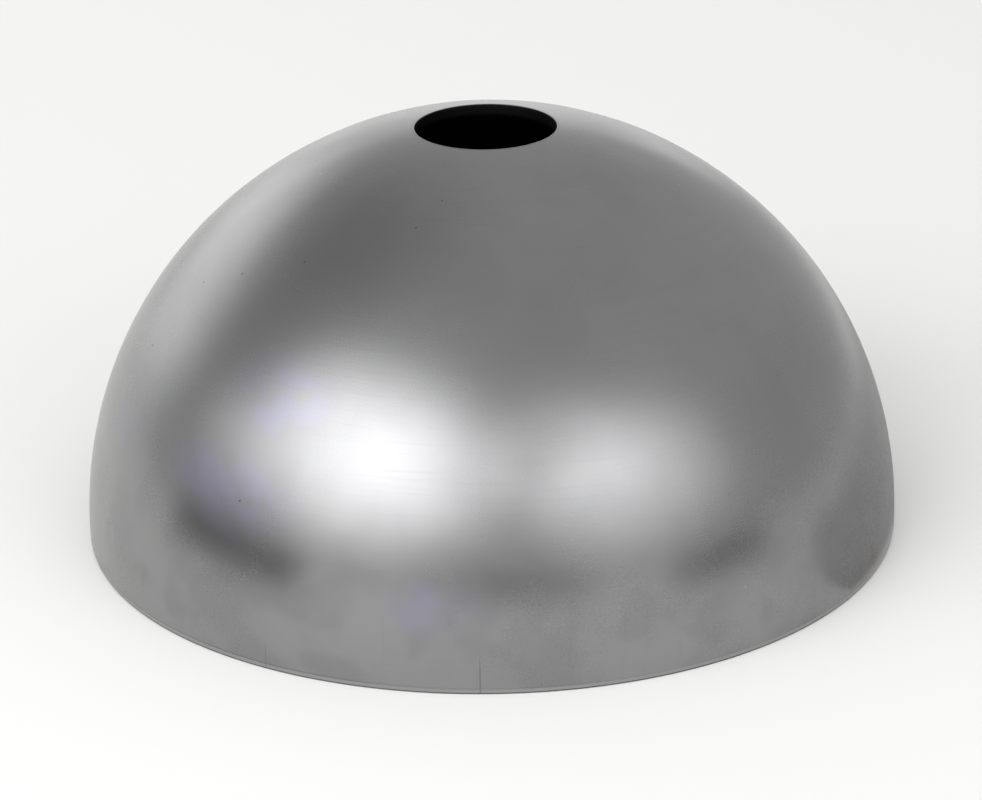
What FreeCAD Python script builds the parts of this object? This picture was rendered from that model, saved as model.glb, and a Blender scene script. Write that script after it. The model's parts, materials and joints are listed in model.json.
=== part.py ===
import FreeCAD, Part
import math
import os

import Sketcher
from FreeCAD import Vector

# Domed pipe cap: one shell deep-drawn from steel sheet. A half sphere runs tangent into a short
# straight flange, a hole for the pipe is punched through the crown, the flange's outer edge is
# turned true after drawing, and the sheared edges are broken. The cap stands on its rim.
# The frame: origin on the cap's axis in the plane of the rim, +Z up along the axis to the crown.

PART_NAME = "dome_shell"

# Driving dimensions in millimetres: alias, value, what it sets.
DIMENSIONS = [
    ("dome_diameter", 200.0, "outside diameter of the half sphere and of the flange"),
    ("sheet_gauge", 3.0, "thickness of the sheet, all over"),
    ("flange_height", 3.0, "straight part between the rim and the half sphere"),
    ("pipe_diameter", 33.7, "outside diameter of the pipe that goes through the crown"),
    ("pipe_play", 0.5, "how much wider the punched hole is than the pipe"),
    ("trim_height", 1.5, "height of the band that turning the edge true leaves"),
    ("trim_step", 0.12, "depth of the step at the top of that band"),
    ("trim_taper", 0.35, "how far the band has come in at the rim"),
    ("crown_edge_break", 0.4, "chamfer around the hole, outside"),
    ("inner_edge_break", 0.2, "chamfer around the hole, inside"),
    ("rim_round", 0.3, "radius on the rim's outer corner"),
    ("rim_inner_round", 0.5, "radius on the rim's inner corner"),
]
SHEET = "dimensions"
TOOL_MARGIN = 2.0  # how far a cutting profile stands clear of the metal it removes
NEAR = 0.01  # how close an edge is to where it is looked for

# Which point of a sketch's line, arc or circle a constraint takes.
START, END, MIDDLE = 1, 2, 3
# The sketch's own axes, and its origin as a (geometry, point) pair.
X_AXIS, Y_AXIS = -1, -2
ORIGIN = (-1, 1)


def make_sheet(doc):
    """The spreadsheet that every size is bound to."""
    sheet = doc.addObject("Spreadsheet::Sheet", SHEET)
    for row, (alias, value, meaning) in enumerate(DIMENSIONS, start=1):
        sheet.set(f"A{row}", alias)
        sheet.set(f"B{row}", str(value))
        sheet.set(f"C{row}", meaning)
        sheet.setAlias(f"B{row}", alias)
    doc.recompute()
    return sheet


def cell(alias):
    """The alias as a term of an expression."""
    return f"<<{SHEET}>>.{alias}"


def origin_feature(body, role):
    """One of the body's own origin planes or axes."""
    return next(f for f in body.Origin.OriginFeatures if f.Role == role)


def new_sketch(body, name, plane):
    sketch = body.newObject("Sketcher::SketchObject", name)
    sketch.AttachmentSupport = [(origin_feature(body, plane), "")]
    sketch.MapMode = "FlatFace"
    return sketch


def dimension(sketch, name, constraint, expression):
    """Adds a named constraint and binds it to the spreadsheet."""
    index = sketch.addConstraint(constraint)
    sketch.renameConstraint(index, name)
    sketch.setExpression(f"Constraints.{name}", expression)


def join(sketch, pairs):
    """Makes pairs of (geometry, point) pairs coincide."""
    for first, second in pairs:
        sketch.addConstraint(Sketcher.Constraint("Coincident", *first, *second))


def drawn_cup(body, sheet):
    """The cup as it leaves the draw die: half sphere and straight flange, turned about Z."""
    radius = sheet.dome_diameter / 2
    bore = radius - sheet.sheet_gauge
    foot = sheet.flange_height
    centre = Vector(0, foot, 0)
    up = Vector(0, 0, 1)
    quarter = (0, math.pi / 2)
    sketch = new_sketch(body, "drawn_profile", "XZ_Plane")
    outer, crown, inner, bore_line, rim, flange = sketch.addGeometry(
        [
            Part.ArcOfCircle(Part.Circle(centre, up, radius), *quarter),
            Part.LineSegment(Vector(0, foot + radius, 0), Vector(0, foot + bore, 0)),
            Part.ArcOfCircle(Part.Circle(centre, up, bore), *quarter),
            Part.LineSegment(Vector(bore, foot, 0), Vector(bore, 0, 0)),
            Part.LineSegment(Vector(bore, 0, 0), Vector(radius, 0, 0)),
            Part.LineSegment(Vector(radius, 0, 0), Vector(radius, foot, 0)),
        ]
    )
    join(
        sketch,
        [
            ((outer, END), (crown, START)),
            ((inner, END), (crown, END)),
            ((bore_line, END), (rim, START)),
            ((rim, END), (flange, START)),
            ((outer, MIDDLE), (inner, MIDDLE)),
        ],
    )
    tangent = [((flange, END), (outer, START)), ((bore_line, START), (inner, START))]
    for line, arc in tangent:
        sketch.addConstraint(Sketcher.Constraint("Tangent", *line, *arc))
    for point in ((outer, MIDDLE), (outer, END), (inner, END)):
        sketch.addConstraint(Sketcher.Constraint("PointOnObject", *point, Y_AXIS))
    sketch.addConstraint(Sketcher.Constraint("PointOnObject", rim, START, X_AXIS))
    sketch.addConstraint(Sketcher.Constraint("Horizontal", rim))
    for straight in (bore_line, flange):
        sketch.addConstraint(Sketcher.Constraint("Vertical", straight))
    dimension(
        sketch,
        "outside_radius",
        Sketcher.Constraint("Radius", outer, radius),
        f"{cell('dome_diameter')} / 2",
    )
    dimension(
        sketch,
        "inside_radius",
        Sketcher.Constraint("Radius", inner, bore),
        f"{cell('dome_diameter')} / 2 - {cell('sheet_gauge')}",
    )
    dimension(
        sketch,
        "flange",
        Sketcher.Constraint("DistanceY", flange, START, flange, END, foot),
        cell("flange_height"),
    )
    cup = body.newObject("PartDesign::Revolution", "drawn_cup")
    cup.Profile = sketch
    cup.ReferenceAxis = (sketch, ["V_Axis"])
    cup.Angle = 360
    return cup


def punched_hole(body, sheet):
    """The hole for the pipe, punched straight up through the crown."""
    radius = (sheet.pipe_diameter + sheet.pipe_play) / 2
    sketch = new_sketch(body, "punch_outline", "XY_Plane")
    circle = sketch.addGeometry(Part.Circle(Vector(0, 0, 0), Vector(0, 0, 1), radius))
    join(sketch, [((circle, MIDDLE), ORIGIN)])
    dimension(
        sketch,
        "hole_radius",
        Sketcher.Constraint("Radius", circle, radius),
        f"({cell('pipe_diameter')} + {cell('pipe_play')}) / 2",
    )
    hole = body.newObject("PartDesign::Pocket", "punched_hole")
    hole.Profile = sketch
    hole.Type = "ThroughAll"
    hole.Reversed = True
    return hole


def trimmed_edge(body, sheet):
    """The lathe cut that trues the outer edge: a fine step, then a band tapering to the rim."""
    radius = sheet.dome_diameter / 2
    top = sheet.trim_height
    step = sheet.trim_step
    taper = sheet.trim_taper
    clear = radius + TOOL_MARGIN
    corners = [
        Vector(radius - taper, 0, 0),
        Vector(radius - step, top, 0),
        Vector(clear, top, 0),
        Vector(clear, 0, 0),
    ]
    sketch = new_sketch(body, "trim_profile", "XZ_Plane")
    band, ledge, outside, under = sketch.addGeometry(
        [
            Part.LineSegment(corners[i], corners[(i + 1) % len(corners)])
            for i in range(len(corners))
        ]
    )
    sides = [band, ledge, outside, under, band]
    join(sketch, [((a, END), (b, START)) for a, b in zip(sides, sides[1:])])
    sketch.addConstraint(Sketcher.Constraint("PointOnObject", band, START, X_AXIS))
    sketch.addConstraint(Sketcher.Constraint("Horizontal", ledge))
    sketch.addConstraint(Sketcher.Constraint("Vertical", outside))
    sketch.addConstraint(Sketcher.Constraint("Horizontal", under))
    dimension(
        sketch,
        "rim_radius",
        Sketcher.Constraint("DistanceX", *ORIGIN, band, START, radius - taper),
        f"{cell('dome_diameter')} / 2 - {cell('trim_taper')}",
    )
    dimension(
        sketch,
        "step_radius",
        Sketcher.Constraint("DistanceX", *ORIGIN, band, END, radius - step),
        f"{cell('dome_diameter')} / 2 - {cell('trim_step')}",
    )
    dimension(
        sketch,
        "band_height",
        Sketcher.Constraint("DistanceY", *ORIGIN, band, END, top),
        cell("trim_height"),
    )
    dimension(
        sketch,
        "tool_reach",
        Sketcher.Constraint("DistanceX", *ORIGIN, ledge, END, clear),
        f"{cell('dome_diameter')} / 2 + {TOOL_MARGIN}",
    )
    trim = body.newObject("PartDesign::Groove", "trimmed_edge")
    trim.Profile = sketch
    trim.ReferenceAxis = (sketch, ["V_Axis"])
    trim.Angle = 360
    return trim


def circular_edge(shape, radius, height):
    """The name of the round edge of that radius whose centre is at that height."""
    for number, edge in enumerate(shape.Edges, start=1):
        curve = edge.Curve
        if not isinstance(curve, Part.Circle) or abs(curve.Radius - radius) > NEAR:
            continue
        if abs(curve.Center.z - height) <= NEAR:
            return f"Edge{number}"
    raise ValueError(f"no round edge of radius {radius} at height {height}")


def edge_treatment(body, kind, name, base, edge, size_property, alias):
    """A Chamfer or Fillet on one edge of the feature before it, sized from the spreadsheet."""
    feature = body.newObject(kind, name)
    feature.Base = (base, [edge])
    feature.setExpression(size_property, cell(alias))
    return feature


def broken_edges(doc, body, sheet):
    """The sheared edges broken: both ends of the hole, then both corners of the rim."""
    hole_radius = (sheet.pipe_diameter + sheet.pipe_play) / 2
    dome_radius = sheet.dome_diameter / 2
    bore_radius = dome_radius - sheet.sheet_gauge
    inner_crown = sheet.flange_height + (bore_radius**2 - hole_radius**2) ** 0.5
    outer_crown = sheet.flange_height + (dome_radius**2 - hole_radius**2) ** 0.5
    rim_radius = dome_radius - sheet.trim_taper
    chamfer, fillet = "PartDesign::Chamfer", "PartDesign::Fillet"
    work = [
        (chamfer, "crown_edge", hole_radius, outer_crown, "Size", "crown_edge_break"),
        (chamfer, "inner_edge", hole_radius, inner_crown, "Size", "inner_edge_break"),
        (fillet, "rim_outer_corner", rim_radius, 0, "Radius", "rim_round"),
        (fillet, "rim_inner_corner", bore_radius, 0, "Radius", "rim_inner_round"),
    ]
    for kind, name, radius, height, size_property, alias in work:
        doc.recompute()
        base = body.Tip
        edge = circular_edge(base.Shape, radius, height)
        edge_treatment(body, kind, name, base, edge, size_property, alias)
    doc.recompute()


def cut_volume(doc, body, make, sheet):
    """Runs a cutting feature and returns how much metal it took away."""
    before = body.Shape.Volume
    make(body, sheet)
    doc.recompute()
    taken = before - body.Shape.Volume
    if taken <= 0:
        raise ValueError(f"{make.__name__} cut nothing")
    return taken


def dome_shell(doc, sheet):
    """The whole cap, in the order it is made."""
    body = doc.addObject("PartDesign::Body", PART_NAME)
    body.Label = PART_NAME
    drawn_cup(body, sheet)
    doc.recompute()
    for make in (punched_hole, trimmed_edge):
        taken = cut_volume(doc, body, make, sheet)
        print(f"{make.__name__}: {taken:.1f} mm3 removed")
    broken_edges(doc, body, sheet)
    return body


def check(doc, bodies):
    """Stops the script if any object failed or any sub-part isn't one valid closed solid."""
    failed = [o.Name for o in doc.Objects if {"Invalid", "Error"} & set(o.State)]
    if failed:
        raise ValueError(f"failed objects: {failed}")
    for body in bodies:
        shape = body.Shape
        if shape.isNull() or not shape.isValid() or len(shape.Solids) != 1:
            raise ValueError(f"{body.Label} isn't one valid solid")


def main():
    doc = FreeCAD.newDocument("domed_pipe_cap")
    sheet = make_sheet(doc)
    bodies = [dome_shell(doc, sheet)]
    check(doc, bodies)
    os.makedirs("parts", exist_ok=True)
    for body in bodies:
        body.Shape.exportStep(os.path.join("parts", f"{body.Label}.step"))
        box = body.Shape.optimalBoundingBox()
        print(
            f"{body.Label}: {box.XLength:.2f} x {box.YLength:.2f} x {box.ZLength:.2f} mm,"
            f" {body.Shape.Volume / 1000:.1f} cm3"
        )


main()
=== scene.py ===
import json
import math

import bpy
import numpy as np
from mathutils import Matrix, Vector


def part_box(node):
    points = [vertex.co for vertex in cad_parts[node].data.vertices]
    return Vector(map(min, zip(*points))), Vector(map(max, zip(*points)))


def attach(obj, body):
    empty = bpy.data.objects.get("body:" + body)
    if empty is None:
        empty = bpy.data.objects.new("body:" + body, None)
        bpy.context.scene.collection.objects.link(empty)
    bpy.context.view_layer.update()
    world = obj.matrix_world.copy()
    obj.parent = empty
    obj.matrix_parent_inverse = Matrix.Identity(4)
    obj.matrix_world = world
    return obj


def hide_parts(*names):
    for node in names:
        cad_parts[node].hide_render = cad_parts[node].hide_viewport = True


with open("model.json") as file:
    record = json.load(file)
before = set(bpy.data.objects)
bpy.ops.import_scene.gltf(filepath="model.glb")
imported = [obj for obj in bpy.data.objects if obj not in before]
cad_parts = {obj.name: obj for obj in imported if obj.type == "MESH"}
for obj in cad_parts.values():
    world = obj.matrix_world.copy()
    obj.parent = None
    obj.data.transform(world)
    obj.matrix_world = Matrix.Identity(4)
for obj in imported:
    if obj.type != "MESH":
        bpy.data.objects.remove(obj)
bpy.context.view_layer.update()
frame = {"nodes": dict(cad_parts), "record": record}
print("frame loaded:", sorted(frame["nodes"]))

# Domed pipe cap, deep-drawn from one sheet of steel, standing on its rim.
# Metres throughout, +Z up the cap's axis, origin in the plane of the rim.

mm = 0.001
capLow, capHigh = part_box("dome_shell")
pipeHole = next(m for m in frame["record"]["mounts"] if m["name"] == "pipe_hole")

dome = {
    "radius": (capHigh.x - capLow.x) / 2,
    "gauge": 3.0 * mm,              # the sheet's thickness
    "flange": 3.0 * mm,             # straight part between the rim and the half sphere
    "hole": pipeHole["dims"]["r_mm"] * mm,
    "holeBreak": 0.2 * mm,          # edge of the hole, outside
    "innerBreak": 0.2 * mm,         # and inside
    "bandHeight": 1.25 * mm,        # the band that turning the edge true leaves
    "bandLip": 0.05 * mm,           # height of the step at its top
    "bandStep": 0.06 * mm,
    "bandTaper": 0.16 * mm,
    "rimRound": 0.25 * mm,          # radius on the rim's outer corner
    "rimInnerRound": 0.5 * mm,
    "turns": 500,                   # columns round the axis
    # The line that the trimming tool scores above the band. It runs deepest on one side, is never
    # quite gone (least), and its groove is darkened as painted shade.
    "line": {
        "above": 0.26 * mm,
        "width": 0.26 * mm,
        "depth": 0.045 * mm,
        "deepest": -124,
        "spread": 36,
        "least": 0.12,
        "darkness": 0.5,
    },
    # Scratches that a speck of grit in the die draws up from the rim: degrees round, height, depth.
    "marks": [
        (-91.9, 10.5 * mm, 0.070 * mm),
        (-121.6, 9.0 * mm, 0.032 * mm),
        (17.0, 9.0 * mm, 0.055 * mm),
        (58.0, 6.5 * mm, 0.030 * mm),
        (101.0, 8.5 * mm, 0.060 * mm),
        (152.0, 7.0 * mm, 0.035 * mm),
    ],
    "markWidth": 0.13 * mm,
    "markFull": 0.075 * mm,         # a scratch this deep is painted fully dark, as shade
    "markReach": 14 * mm,           # grooves stay below this height
    # The fine ring that the punch's guide presses round the hole, its groove darkened as painted shade.
    "ring": {"outside": 0.55 * mm, "width": 0.16 * mm, "depth": 0.03 * mm, "darkness": 0.7},
    # Slow waves that the sheet keeps when it comes out of the die: how many round, how many from
    # the rim to the crown, where they start in degrees, and how far they stand in or out.
    "waves": [
        (2, 0.5, 40, 0.09 * mm),
        (5, 1.0, 115, 0.05 * mm),
        (11, 1.5, 10, 0.03 * mm),
        (19, 2.5, 70, 0.015 * mm),
    ],
    "wavePhase": 0.3,               # where the waves stand at the flange, in halves of a wave
    "waveHush": 0.25,               # radians from the hole over which they grow
}


# One stretch of the profile: points on a straight line from a to b, without b itself.
def straight(a, b, count):
    t = np.arange(count)[:, None] / count
    return np.asarray(a) * (1 - t) + np.asarray(b) * t


# Points on an arc about centre, from one angle to another in degrees, without the last.
def arc(centre, radius, fromAngle, toAngle, count):
    a = np.radians(fromAngle + (toAngle - fromAngle) * np.arange(count) / count)
    return np.stack([centre[0] + radius * np.cos(a), centre[1] + radius * np.sin(a)], axis=1)


# The profile as (distance from the axis, height), a closed loop: down the outside from the hole
# to the rim, across the rim, up the inside, and up the wall of the hole.
def domeProfile(d):
    outer, inner = d["radius"], d["radius"] - d["gauge"]
    foot, hole, line = d["flange"], d["hole"], d["line"]
    wideHole, wideInner = hole + d["holeBreak"], hole + d["innerBreak"]
    outerStart = math.degrees(math.acos(wideHole / outer))
    innerEnd = math.degrees(math.acos(wideInner / inner))
    outerCrown = foot + math.sqrt(outer**2 - wideHole**2)
    innerCrown = foot + math.sqrt(inner**2 - wideInner**2)
    ringEnd = outerStart - 0.6          # degrees, with close rows above it for the pressed ring
    rimRadius = outer - d["bandTaper"]
    bandTop, bandFoot = outer - d["bandStep"], d["bandHeight"] - d["bandLip"]
    lineTop = d["bandHeight"] + line["above"] + line["width"]
    corner, innerCorner = d["rimRound"], d["rimInnerRound"]
    pieces = [
        arc((0, foot), outer, outerStart, ringEnd, 6),
        arc((0, foot), outer, ringEnd, 0, 88),
        straight((outer, foot), (outer, lineTop), 2),
        straight((outer, lineTop), (outer, d["bandHeight"]), 7),
        straight((outer, d["bandHeight"]), (bandTop, bandFoot), 2),
        straight((bandTop, bandFoot), (rimRadius, corner), 4),
        arc((rimRadius - corner, corner), corner, 0, -90, 5),
        straight((rimRadius - corner, 0), (inner + innerCorner, 0), 3),
        arc((inner + innerCorner, innerCorner), innerCorner, -90, -180, 4),
        straight((inner, innerCorner), (inner, foot), 2),
        arc((0, foot), inner, 0, innerEnd, 44),
        straight((wideInner, innerCrown), (hole, innerCrown + d["innerBreak"]), 2),
        straight((hole, innerCrown + d["innerBreak"]), (hole, outerCrown - d["holeBreak"]), 4),
        arc((wideHole, outerCrown - d["holeBreak"]), d["holeBreak"], 180, 90, 3),
    ]
    return np.concatenate(pieces)


# Angles of the columns: evenly round, with five more close together at each draw mark.
def columnAngles(d):
    even = np.linspace(-math.pi, math.pi, d["turns"], endpoint=False)
    places = np.radians([mark[0] for mark in d["marks"]])[:, None]
    width = d["markWidth"] / d["radius"]
    close = (places + np.array([-2.2, -0.9, 0.0, 0.9, 2.2])[None] * width).reshape(-1)
    angles = np.unique(np.concatenate([even, close]))
    crowded = np.abs(angles[:, None] - close[None]).min(axis=1)
    return angles[(crowded == 0) | (crowded >= 0.5 * width)]


# The cubic 3t^2 - 2t^3 between two values.
def smoothStep(edge, full, value):
    t = np.clip((value - edge) / (full - edge), 0, 1)
    return t * t * (3 - 2 * t)


# Angle of each column from a place in degrees, the short way round, in radians.
def angleFrom(angles, place):
    return (angles - math.radians(place) + math.pi) % (2 * math.pi) - math.pi


# How far each point of the shell stands out along its normal, and how much painted shade darkens
# its grooves, rows down the profile and columns round the axis. The scored line is a Gaussian groove
# in height that fades with the angle from its deepest place. The punch's ring is one in distance from
# the axis. A draw mark is one in distance round the wall that fades out upward. The waves are sines
# of both angles, and move the inside with the outside.
def surfaceOffset(profile, angles, d):
    distance, height = profile[:, 0, None], profile[:, 1, None]
    outside = (distance > d["radius"] - 0.2 * d["gauge"]) & (height < d["markReach"])
    line, ring = d["line"], d["ring"]
    fromDeepest = angleFrom(angles, line["deepest"]) / math.radians(line["spread"])
    strength = line["least"] + (1 - line["least"]) * np.exp(-(fromDeepest**2))
    across = (height - d["bandHeight"] - line["above"]) / (0.5 * line["width"])
    groove = outside * np.exp(-(across**2)) * strength[None]
    offset, paintedShade = -line["depth"] * groove, line["darkness"] * groove
    fromRing = (distance - d["hole"] - ring["outside"]) / (0.5 * ring["width"])
    crown = height > d["radius"] - 1 * mm
    groove = crown * np.exp(-(fromRing**2)) * np.ones_like(angles)[None]
    offset, paintedShade = offset - ring["depth"] * groove, np.maximum(paintedShade, ring["darkness"] * groove)
    for place, top, depth in d["marks"]:
        aside = angleFrom(angles, place) * d["radius"] / d["markWidth"]
        fade = 1 - smoothStep(0.5 * top, top, height)
        groove = outside * fade * np.exp(-(aside**2))[None]
        offset = offset - depth * groove
        paintedShade = np.maximum(paintedShade, groove * depth / d["markFull"])
    up = np.arctan2(np.maximum(height - d["flange"], 0), distance)
    nearHole = smoothStep(0, d["waveHush"], math.pi / 2 - up - d["hole"] / d["radius"])
    nearRim = smoothStep(0, 2 * d["flange"], height)
    for times, rise, start, size in d["waves"]:
        around = np.sin(times * (angles[None] - math.radians(start)))
        upward = np.sin(rise * math.pi * (2 * up / math.pi + d["wavePhase"]))
        offset = offset + size * around * upward * nearHole * nearRim
    return offset, np.clip(paintedShade, 0, 1)


# A closed profile carried round the axis: row i is profile point i, column j is angle j, and the
# last row and column join the first.
def turnedMesh(name, points, paintedShade):
    rows, columns = points.shape[:2]
    i, j = np.arange(rows)[:, None], np.arange(columns)[None]
    down, side = (i + 1) % rows, (j + 1) % columns
    corners = [i * columns + j, down * columns + j, down * columns + side, i * columns + side]
    quads = np.stack(corners, axis=-1).reshape(-1, 4)
    mesh = bpy.data.meshes.new(name)
    mesh.vertices.add(rows * columns)
    mesh.vertices.foreach_set("co", points.reshape(-1).astype(np.float32))
    mesh.loops.add(quads.size)
    mesh.loops.foreach_set("vertex_index", quads.reshape(-1).astype(np.int32))
    mesh.polygons.add(len(quads))
    mesh.polygons.foreach_set("loop_start", np.arange(0, quads.size, 4, dtype=np.int32))
    mesh.polygons.foreach_set("loop_total", np.full(len(quads), 4, dtype=np.int32))
    mesh.update(calc_edges=True)
    mesh.shade_smooth()
    held = mesh.attributes.new("paintedShade", "FLOAT", "POINT")
    held.data.foreach_set("value", paintedShade.reshape(-1).astype(np.float32))
    piece = bpy.data.objects.new(name, mesh)
    bpy.context.scene.collection.objects.link(piece)
    return piece


# The shell: each profile point, pushed along its normal by its offset and turned round the axis.
# Outward is away from the half sphere's centre, or from the axis below it.
def drawnDome(d):
    profile, angles = domeProfile(d), columnAngles(d)
    offset, paintedShade = surfaceOffset(profile, angles, d)
    rise = np.maximum(profile[:, 1] - d["flange"], 0)
    outward = np.stack([profile[:, 0], rise], axis=1) / np.hypot(profile[:, 0], rise)[:, None]
    distance = profile[:, 0, None] + outward[:, 0, None] * offset
    height = profile[:, 1, None] + outward[:, 1, None] * offset
    points = np.stack([distance * np.cos(angles), distance * np.sin(angles), height], axis=-1)
    return turnedMesh("drawn_dome", points, paintedShade)


def linear(hexColour):
    channels = [int(hexColour[k : k + 2], 16) / 255 for k in (1, 3, 5)]
    return [c / 12.92 if c <= 0.04045 else ((c + 0.055) / 1.055) ** 2.4 for c in channels] + [1.0]


# Adds a node with its own settings, then sets each input to a number or a hex colour, or links it
# to another node's socket. Gives back the output asked for.
def node(tree, kind, inputs=None, give=0, **settings):
    made = tree.nodes.new("ShaderNode" + kind)
    for key, value in settings.items():
        setattr(made, key, value)
    for key, value in (inputs or {}).items():
        if isinstance(value, bpy.types.NodeSocket):
            tree.links.new(value, made.inputs[key])
        else:
            made.inputs[key].default_value = linear(value) if isinstance(value, str) else value
    return made.outputs[give]


steel = {
    "clean": "#939394",
    "dull": "#868687",              # where drawing oil has dried to a haze
    "inside": "#2b2b2c",            # painted shade: the inside drawn dark
    "turned": "#9c9c9e",            # painted light: the band that the trimming tool turned, drawn lighter
    "cut": "#222223",               # painted shade: the hole's punched wall drawn dark
    "paintedShade": "#38373a",             # painted shade in the grooves and on the rim's bottom edge
    "roughness": 0.28,
    "holeRoughness": 0.5,
    "insideRoughness": 0.6,
    "hazeDulls": 0.04,              # added to the roughness under the haze
    "grainDulls": 0.03,             # and up and down with the grain
    "cloud": 45 * mm,               # size of the hazy patches
    "patch": 13 * mm,               # and of the smaller ones in the lower band
    "patchFrom": 48 * mm,           # those fade in from here down
    "patchFull": 14 * mm,
    "ragged": 6 * mm,               # size of the films' torn edges
    "grain": 0.55 * mm,             # orange peel of the drawn skin, drawn coarse enough to show
    "wipe": 0.7 * mm,               # spacing of the lines that wiping round leaves
    "wipeSquash": 0.035,
    "streak": 0.6 * mm,             # spacing of the draw streaks above the rim
    "streakStretch": 0.02,
    "streakTop": 26 * mm,           # how high those reach
    "streakFull": 4 * mm,
    "rimShadeTop": 0.46 * mm,           # painted shade: the rim's bottom edge is dark from here down
    "rimShadeFull": 0.26 * mm,
    # How much of each shows in the colour.
    "shows": {"haze": 0.55, "patch": 0.6, "wipe": 0.22, "streak": 0.13, "paintedShade": 0.55, "rimShade": 0.8},
    # How high each stands in the relief.
    "relief": {"grain": 0.0008 * mm, "wipe": 0.004 * mm, "streak": 0.0035 * mm, "pit": 0.02 * mm},
    # Dots: spacing, largest radius, where the pattern is moved to, colour, how much of it shows.
    "pits": (8 * mm, 0.34 * mm, (0.0, 0.0, 0.0), "#3a3937", 0.8),
    "specks": (10 * mm, 0.28 * mm, (0.31, 0.17, 0.53), "#c4c4c6", 0.7),
    # Thin films on the steel: degrees round, height, radius, colour and how much of it shows.
    "films": [
        (-129, 38 * mm, 14 * mm, "#918fa1", 0.7),
        (-137, 41 * mm, 10 * mm, "#918fa1", 0.6),
        (-126, 60 * mm, 13 * mm, "#918fa1", 0.55),
        (-98, 20 * mm, 10 * mm, "#918fa1", 0.7),
        (-160, 40 * mm, 7 * mm, "#918fa1", 0.5),
        (-26, 4 * mm, 6 * mm, "#847a66", 0.7),
        (38, 30 * mm, 15 * mm, "#918fa1", 0.5),
        (118, 24 * mm, 11 * mm, "#918fa1", 0.6),
        (84, 6 * mm, 6 * mm, "#847a66", 0.5),
    ],
    "filmShape": (0.85, 0.85, 1.4),     # wider than high
    "filmEdge": (1.25, 0.45),           # in radii: where a film begins, and where it is full
}
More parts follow.
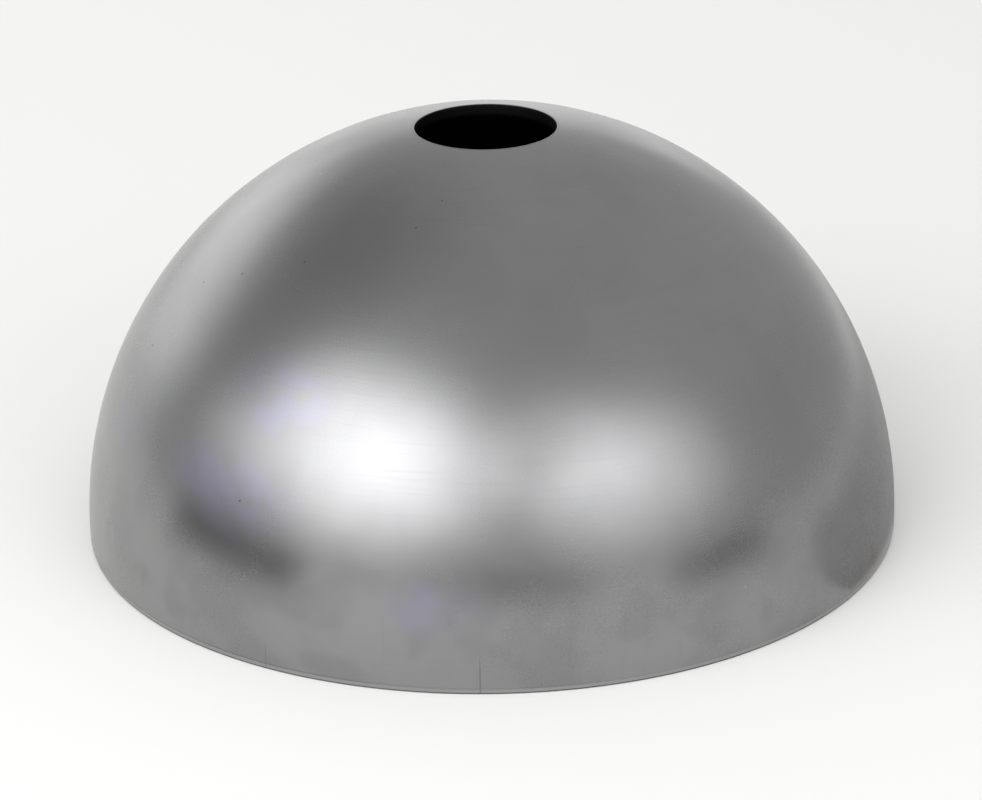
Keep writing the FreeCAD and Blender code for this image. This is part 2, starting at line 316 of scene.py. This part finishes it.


# Bare low-carbon steel as it leaves the draw press and one wipe with a rag. The skin is satin, so
# lights show as soft pools. It carries a fine orange peel, faint lines round it from the wipe,
# streaks drawn up from the rim, thin clouds of oil, a bluish film here and there, and a few pits.
# Painted light: the turned band is drawn lighter. Painted shade: the grooves, the rim's bottom edge,
# the hole's wall and the inside are drawn darker.
def deepDrawnSteel(s, d):
    material = bpy.data.materials.new("deep_drawn_steel")
    material.use_nodes = True
    tree = material.node_tree
    shader = tree.nodes["Principled BSDF"]
    shader.inputs["Metallic"].default_value = 1.0
    shows, stands = s["shows"], s["relief"]
    times, plus = {"operation": "MULTIPLY"}, {"operation": "ADD"}
    less, larger = {"operation": "SUBTRACT"}, {"operation": "MAXIMUM"}
    below, length = {"operation": "LESS_THAN"}, {"operation": "LENGTH", "give": "Value"}
    smooth = {"interpolation_type": "SMOOTHSTEP"}
    mix = {"data_type": "RGBA", "give": "Result"}
    place = node(tree, "TexCoord", give="Object")
    height = node(tree, "SeparateXYZ", {0: place}, give="Z")
    x, y = height.node.outputs["X"], height.node.outputs["Y"]

    # Where a point is: rho is its distance from the half sphere's centre, or from the axis below it.
    onFloor = node(tree, "CombineXYZ", {"X": x, "Y": y})
    fromAxis = node(tree, "VectorMath", {0: onFloor}, **length)
    raised = node(tree, "Math", {0: height, 1: d["flange"]}, **less)
    raised = node(tree, "Math", {0: raised, 1: 0.0}, **larger)
    arm = node(tree, "CombineXYZ", {"X": fromAxis, "Y": raised})
    rho = node(tree, "VectorMath", {0: arm}, **length)
    inside = node(tree, "Math", {0: rho, 1: d["radius"] - d["gauge"] + 0.15 * mm}, **below)
    inHole = node(tree, "Math", {0: fromAxis, 1: d["hole"] + 0.08 * mm}, **below)
    # How dark each groove is painted, as painted shade, carried on the shell.
    paintedShade = node(tree, "Attribute", attribute_name="paintedShade", give="Fac")
    # The turned band, drawn lighter as painted light.
    band = d["bandHeight"]
    turned = {"Value": height, "From Min": band + 0.02 * mm, "From Max": band - 0.04 * mm}
    turned = node(tree, "MapRange", turned, **smooth)
    # Painted shade along the rim's bottom edge.
    rimShade = {"Value": height, "From Min": s["rimShadeTop"], "From Max": s["rimShadeFull"], "To Max": shows["rimShade"]}
    rimShade = node(tree, "MapRange", rimShade, **smooth)

    # Patterns, each at its own size. The wipe lines are noise squashed in height, and the draw
    # streaks are noise on the circle round the wall, which has no seam, stretched upward.
    cells = {"Vector": place, "Scale": 1 / s["cloud"], "Detail": 3.0, "Roughness": 0.55}
    clouds = node(tree, "TexNoise", cells)
    haze = {"Value": clouds, "From Min": 0.38, "From Max": 0.66, "To Max": shows["haze"]}
    haze = node(tree, "MapRange", haze, **smooth)
    cells = {"Vector": place, "Scale": 1 / s["patch"], "Detail": 2.0, "Roughness": 0.45}
    patches = node(tree, "TexNoise", cells)
    patches = node(tree, "MapRange", {"Value": patches, "From Min": 0.42, "From Max": 0.60}, **smooth)
    lowBand = {"Value": height, "From Min": s["patchFrom"], "From Max": s["patchFull"]}
    lowBand["To Max"] = shows["patch"]
    lowBand = node(tree, "MapRange", lowBand, **smooth)
    patches = node(tree, "Math", {0: patches, 1: lowBand}, **times)
    cells = {"Vector": place, "Scale": 1 / s["grain"], "Detail": 3.0, "Roughness": 0.6}
    grain = node(tree, "TexNoise", cells)
    squashed = node(tree, "VectorMath", {0: place, 1: (s["wipeSquash"], s["wipeSquash"], 1.0)}, **times)
    cells = {"Vector": squashed, "Scale": 1 / s["wipe"], "Detail": 3.0, "Roughness": 0.6}
    wipeLines = node(tree, "TexNoise", cells)
    wiped = {"Value": wipeLines, "From Min": 0.52, "From Max": 0.75, "To Max": shows["wipe"]}
    wiped = node(tree, "MapRange", wiped, **smooth)
    toward = node(tree, "VectorMath", {0: onFloor}, operation="NORMALIZE")
    onWall = node(tree, "VectorMath", {0: toward, "Scale": d["radius"]}, operation="SCALE")
    stretched = node(tree, "VectorMath", {0: place, 1: (0.0, 0.0, s["streakStretch"])}, **times)
    along = node(tree, "VectorMath", {0: onWall, 1: stretched}, **plus)
    cells = {"Vector": along, "Scale": 1 / s["streak"], "Detail": 2.0, "Roughness": 0.7}
    streaks = node(tree, "TexNoise", cells)
    fade = {"Value": height, "From Min": s["streakTop"], "From Max": s["streakFull"]}
    fade = node(tree, "MapRange", fade, **smooth)
    streaked = {"Value": streaks, "From Min": 0.60, "From Max": 0.80, "To Max": shows["streak"]}
    streaked = node(tree, "MapRange", streaked, **smooth)
    streaked = node(tree, "Math", {0: streaked, 1: fade}, **times)
    cells = {"Vector": place, "Scale": 1 / s["ragged"], "Detail": 4.0, "Roughness": 0.6}
    ragged = node(tree, "TexNoise", cells)
    ragged = node(tree, "MapRange", {"Value": ragged, "From Min": 0.30, "From Max": 0.62}, **smooth)

    # Colour, from the bare steel up: one layer over another, each with how much of it shows.
    layers = [(haze, s["dull"]), (patches, s["dull"]), (wiped, s["dull"]), (streaked, s["cut"])]
    for around, up, radius, film, strength in s["films"]:
        angle = math.radians(around)
        wall = math.sqrt(d["radius"] ** 2 - max(up - d["flange"], 0) ** 2)
        centre = (wall * math.cos(angle), wall * math.sin(angle), up)
        apart = node(tree, "VectorMath", {0: place, 1: centre}, **less)
        wide = node(tree, "VectorMath", {0: apart, 1: s["filmShape"]}, **times)
        away = node(tree, "VectorMath", {0: wide}, **length)
        starts, full = (share * radius for share in s["filmEdge"])
        spread = {"Value": away, "From Min": starts, "From Max": full, "To Max": strength}
        spread = node(tree, "MapRange", spread, **smooth)
        layers.append((node(tree, "Math", {0: spread, 1: ragged}, **times), film))
    dots = []
    for spacing, radius, moved, tone, strength in (s["pits"], s["specks"]):
        cells = node(tree, "VectorMath", {0: place, 1: moved}, **plus)
        nearest = node(tree, "TexVoronoi", {"Vector": cells, "Scale": 1 / spacing}, give="Distance")
        size = node(tree, "Math", {0: nearest.node.outputs["Color"], 1: radius / spacing}, **times)
        dots.append(node(tree, "Math", {0: nearest, 1: size}, **below))
        layers.append((node(tree, "Math", {0: dots[-1], 1: strength}, **times), tone))
    # Painted shade: the grooves drawn darker.
    shadedGrooves = node(tree, "Math", {0: paintedShade, 1: shows["paintedShade"]}, **times)
    # Painted light on the turned band; painted shade in the grooves and on the rim's bottom edge.
    layers += [(turned, s["turned"]), (shadedGrooves, s["paintedShade"]), (rimShade, s["paintedShade"])]
    # Painted shade: the hole's wall and the inside drawn dark.
    layers += [(inHole, s["cut"]), (inside, s["inside"])]
    colour = s["clean"]
    for amount, over in layers:
        colour = node(tree, "Mix", {"Factor": amount, "A": colour, "B": over}, **mix)
    tree.links.new(colour, shader.inputs["Base Color"])

    # Roughness: duller under the haze, up and down with the grain, dull in the hole and inside.
    hazy = node(tree, "Math", {0: haze, 1: s["hazeDulls"]}, **times)
    rough = node(tree, "Math", {0: hazy, 1: s["roughness"] - s["hazeDulls"] / 2}, **plus)
    even = node(tree, "Math", {0: grain, 1: 0.5}, **less)
    grainy = node(tree, "Math", {0: even, 1: s["grainDulls"]}, **times)
    rough = node(tree, "Math", {0: rough, 1: grainy}, **plus)
    for where, least in ((inHole, s["holeRoughness"]), (inside, s["insideRoughness"])):
        dull = node(tree, "Math", {0: where, 1: least}, **times)
        rough = node(tree, "Math", {0: rough, 1: dull}, **larger)
    tree.links.new(rough, shader.inputs["Roughness"])

    # Relief, in metres: grain and wipe lines all over, streaks low down, pits sunk in.
    fadedStreaks = node(tree, "Math", {0: streaks, 1: fade}, **times)
    relief = node(tree, "Math", {0: grain, 1: stands["grain"]}, **times)
    added = ((wipeLines, stands["wipe"]), (fadedStreaks, stands["streak"]), (dots[0], -stands["pit"]))
    for pattern, size in added:
        part = node(tree, "Math", {0: pattern, 1: size}, **times)
        relief = node(tree, "Math", {0: relief, 1: part}, **plus)
    bump = node(tree, "Bump", {"Height": relief, "Strength": 1.0, "Distance": 1.0})
    tree.links.new(bump, shader.inputs["Normal"])
    return material


shell = drawnDome(dome)
shell.data.materials.append(deepDrawnSteel(steel, dome))
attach(shell, "root")
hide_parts("dome_shell")
print("dome made:", 2 * len(shell.data.polygons), "triangles")

floorSheet = {"radius": 0.9, "colour": "#f3f3f1", "roughness": 0.8, "shine": 0.1, "sides": 96}


# Uncoated white paper, which scatters light evenly and has almost no shine.
def whitePaper(f):
    material = bpy.data.materials.new("white_paper_sweep")
    material.use_nodes = True
    shader = material.node_tree.nodes["Principled BSDF"]
    shader.inputs["Base Color"].default_value = linear(f["colour"])
    shader.inputs["Roughness"].default_value = f["roughness"]
    shader.inputs["Specular IOR Level"].default_value = f["shine"]
    return material


bpy.ops.mesh.primitive_circle_add(
    vertices=floorSheet["sides"], radius=floorSheet["radius"], fill_type="NGON"
)
floor = bpy.context.object
floor.name = "floor"
floor.data.materials.append(whitePaper(floorSheet))

# Softboxes round the cap: where each stands (degrees round from +X and above the floor, metres
# from the cap), its width and height in metres, how much of it is the hot middle before it fades
# to its edge, and its brightness in watts. The light for the paper stays out of the steel.
softboxes = {
    "leftBox": {"at": (-130, 31, 2.2), "size": (4.5, 2.6), "core": 0.1, "watts": 97},
    "leftWing": {"at": (-170, 18, 2.2), "size": (1.8, 1.0), "core": 0.1, "watts": 3.7},
    "rightBox": {"at": (-49, 22, 2.2), "size": (3.4, 2.0), "core": 0.0, "watts": 31},
    "middleBox": {"at": (-68, 34, 2.2), "size": (2.1, 1.3), "core": 0.7, "watts": 5.0},
    "backSheet": {"at": (93, 9, 0.95), "size": (1.1, 0.6), "core": 0.6, "watts": 0.75},
    "leftStrip": {"at": (133, 15, 1.8), "size": (2.2, 1.7), "core": 0.2, "watts": 9.8},
    "paperLight": {"at": (-90, 52, 0.80), "size": (1.3, 0.8), "core": 0.3, "watts": 1.6, "mirrored": False},
}


# Unit vector toward an azimuth and an elevation in degrees.
def directionTo(azimuth, elevation):
    turned, lifted = math.radians(azimuth), math.radians(elevation)
    level = math.cos(lifted)
    return Vector((math.cos(turned) * level, math.sin(turned) * level, math.sin(lifted)))


def placeSoftbox(name, s):
    lamp = bpy.data.lights.new(name, "AREA")
    lamp.shape = "ELLIPSE"
    lamp.size, lamp.size_y = s["size"]
    lamp.energy = s["watts"]
    lamp.use_nodes = True
    tree = lamp.node_tree
    onPanel = node(tree, "NewGeometry", give="Parametric")
    centred = node(tree, "VectorMath", {0: onPanel, 1: (0.5, 0.5, 0.0)}, operation="SUBTRACT")
    radius = node(tree, "VectorMath", {0: centred}, operation="LENGTH", give="Value")
    fade = {"Value": radius, "From Min": s["core"] / 2, "From Max": 0.5, "To Min": 1.0, "To Max": 0.0}
    fade = node(tree, "MapRange", fade, interpolation_type="SMOOTHSTEP")
    tree.links.new(fade, tree.nodes["Emission"].inputs["Strength"])
    made = bpy.data.objects.new(name, lamp)
    azimuth, elevation, away = s["at"]
    outward = directionTo(azimuth, elevation)
    made.location = outward * away + Vector((0, 0, dome["radius"] / 2))
    made.rotation_euler = outward.to_track_quat("Z", "Y").to_euler()
    made.visible_camera = False
    made.visible_glossy = s.get("mirrored", True)
    bpy.context.scene.collection.objects.link(made)


for title, settings in softboxes.items():
    placeSoftbox(title, settings)

# Cards out of the camera's sight, which only the steel mirrors. The dark ones stand on the table
# and put dark patches in it: degrees round, metres away, width, height and colour. The grey one is a
# painted shadow: it lies 1 mm up round the back of the cap, from one angle to another and one radius
# to another, and stands in for the cap's shadow on the paper that the steel mirrors.
darkCards = {
    "cardLeft": (-153, 0.265, 0.18, 0.036, "#101010"),
    "cardMiddle": (-82, 0.60, 0.34, 0.055, "#6c6c6c"),
    "cardRight": (-36, 0.275, 0.12, 0.024, "#101010"),
}
paintedShadowCard = {"from": -32, "to": 92, "inner": 0.1015, "outer": 0.30, "colour": "#c6c6c6", "spokes": 33}


def hiddenCard(name, corners, faces, colour):
    mesh = bpy.data.meshes.new(name)
    mesh.from_pydata(corners, [], faces)
    board = bpy.data.materials.new(name)
    board.use_nodes = True
    shader = board.node_tree.nodes["Principled BSDF"]
    shader.inputs["Base Color"].default_value = linear(colour)
    shader.inputs["Roughness"].default_value = 0.9
    mesh.materials.append(board)
    card = bpy.data.objects.new(name, mesh)
    bpy.context.scene.collection.objects.link(card)
    card.visible_camera = card.visible_diffuse = card.visible_shadow = False


def standingCard(name, azimuth, away, width, tall, colour):
    toward = directionTo(azimuth, 0)
    along = Vector((-toward.y, toward.x, 0)) * width / 2
    foot, top = toward * away, toward * away + Vector((0, 0, tall))
    hiddenCard(name, [foot - along, foot + along, top + along, top - along], [(0, 3, 2, 1)], colour)


# A crescent: corner pairs (inner, outer) at even angles, with one face between each two pairs. Its
# width follows a half sine.
def crescentCard(name, c):
    share = np.linspace(0.01, 0.99, c["spokes"])
    spokes = np.radians(c["from"] + (c["to"] - c["from"]) * share)[:, None]
    reach = c["inner"] + (c["outer"] - c["inner"]) * np.sin(math.pi * share)
    radii = np.stack([np.full_like(reach, c["inner"]), reach], axis=1)
    corners = np.stack([radii * np.cos(spokes), radii * np.sin(spokes), np.full_like(radii, mm)], axis=-1)
    start = 2 * np.arange(c["spokes"] - 1)
    faces = np.stack([start, start + 1, start + 3, start + 2], axis=1)
    hiddenCard(name, corners.reshape(-1, 3).tolist(), faces.tolist(), c["colour"])


for title, settings in darkCards.items():
    standingCard(title, *settings)
crescentCard("paintedShadowBehind", paintedShadowCard)
print("studio set:", len(softboxes), "softboxes,", len(darkCards) + 1, "cards")

# The room: an even pale grey, with a dark corner behind on the left that the steel mirrors. The
# corner has its direction, the cosine from its middle at which it begins, and its depth. Seen past
# the paper's edge the room is white, like the paper.
room = {"seen": 1.0, "strength": 0.635, "corner": {"toward": (148, 42), "edge": 0.75, "depth": 0.23}}


def studioRoom(r):
    world = bpy.data.worlds.new("room")
    world.use_nodes = True
    tree = world.node_tree
    background = tree.nodes["Background"]
    background.inputs["Color"].default_value = (1, 1, 1, 1)
    corner = r["corner"]
    sightline = node(tree, "TexCoord", give="Generated")
    middle = tuple(directionTo(*corner["toward"]))
    closeness = node(tree, "VectorMath", {0: sightline, 1: middle}, operation="DOT_PRODUCT", give="Value")
    shade = {"Value": closeness, "From Min": corner["edge"], "To Max": corner["depth"]}
    shade = node(tree, "MapRange", shade, interpolation_type="SMOOTHSTEP")
    glow = node(tree, "Math", {0: r["strength"], 1: shade}, operation="SUBTRACT")
    direct = node(tree, "LightPath", give="Is Camera Ray")
    strength = node(tree, "Mix", {"Factor": direct, "A": glow, "B": r["seen"]}, give="Result")
    tree.links.new(strength, background.inputs["Strength"])
    return world


bpy.context.scene.world = studioRoom(room)
bpy.context.scene.view_settings.view_transform = "Standard"

view = {
    "distance": 9.407 * dome["radius"],
    "height": 24.31,                # degrees above the floor
    "aim": (0.2 * mm, 0, 30.4 * mm),
    "roll": 0.948,                  # degrees, clockwise
    "lens": 137.8,                  # millimetres, on the sensor below
    "sensor": 36.0,
}


def placeCamera(v):
    lens = bpy.data.cameras.new("camera")
    lens.lens = v["lens"]
    lens.sensor_width = v["sensor"]
    lens.clip_start = 0.01
    made = bpy.data.objects.new("camera", lens)
    tilt = math.radians(v["height"])
    made.location = Vector((0, -math.cos(tilt), math.sin(tilt))) * v["distance"]
    level = (Vector(v["aim"]) - made.location).to_track_quat("-Z", "Y").to_matrix()
    made.rotation_euler = (level @ Matrix.Rotation(-math.radians(v["roll"]), 3, "Z")).to_euler()
    bpy.context.scene.collection.objects.link(made)
    return made


bpy.context.scene.camera = placeCamera(view)
print("camera placed")
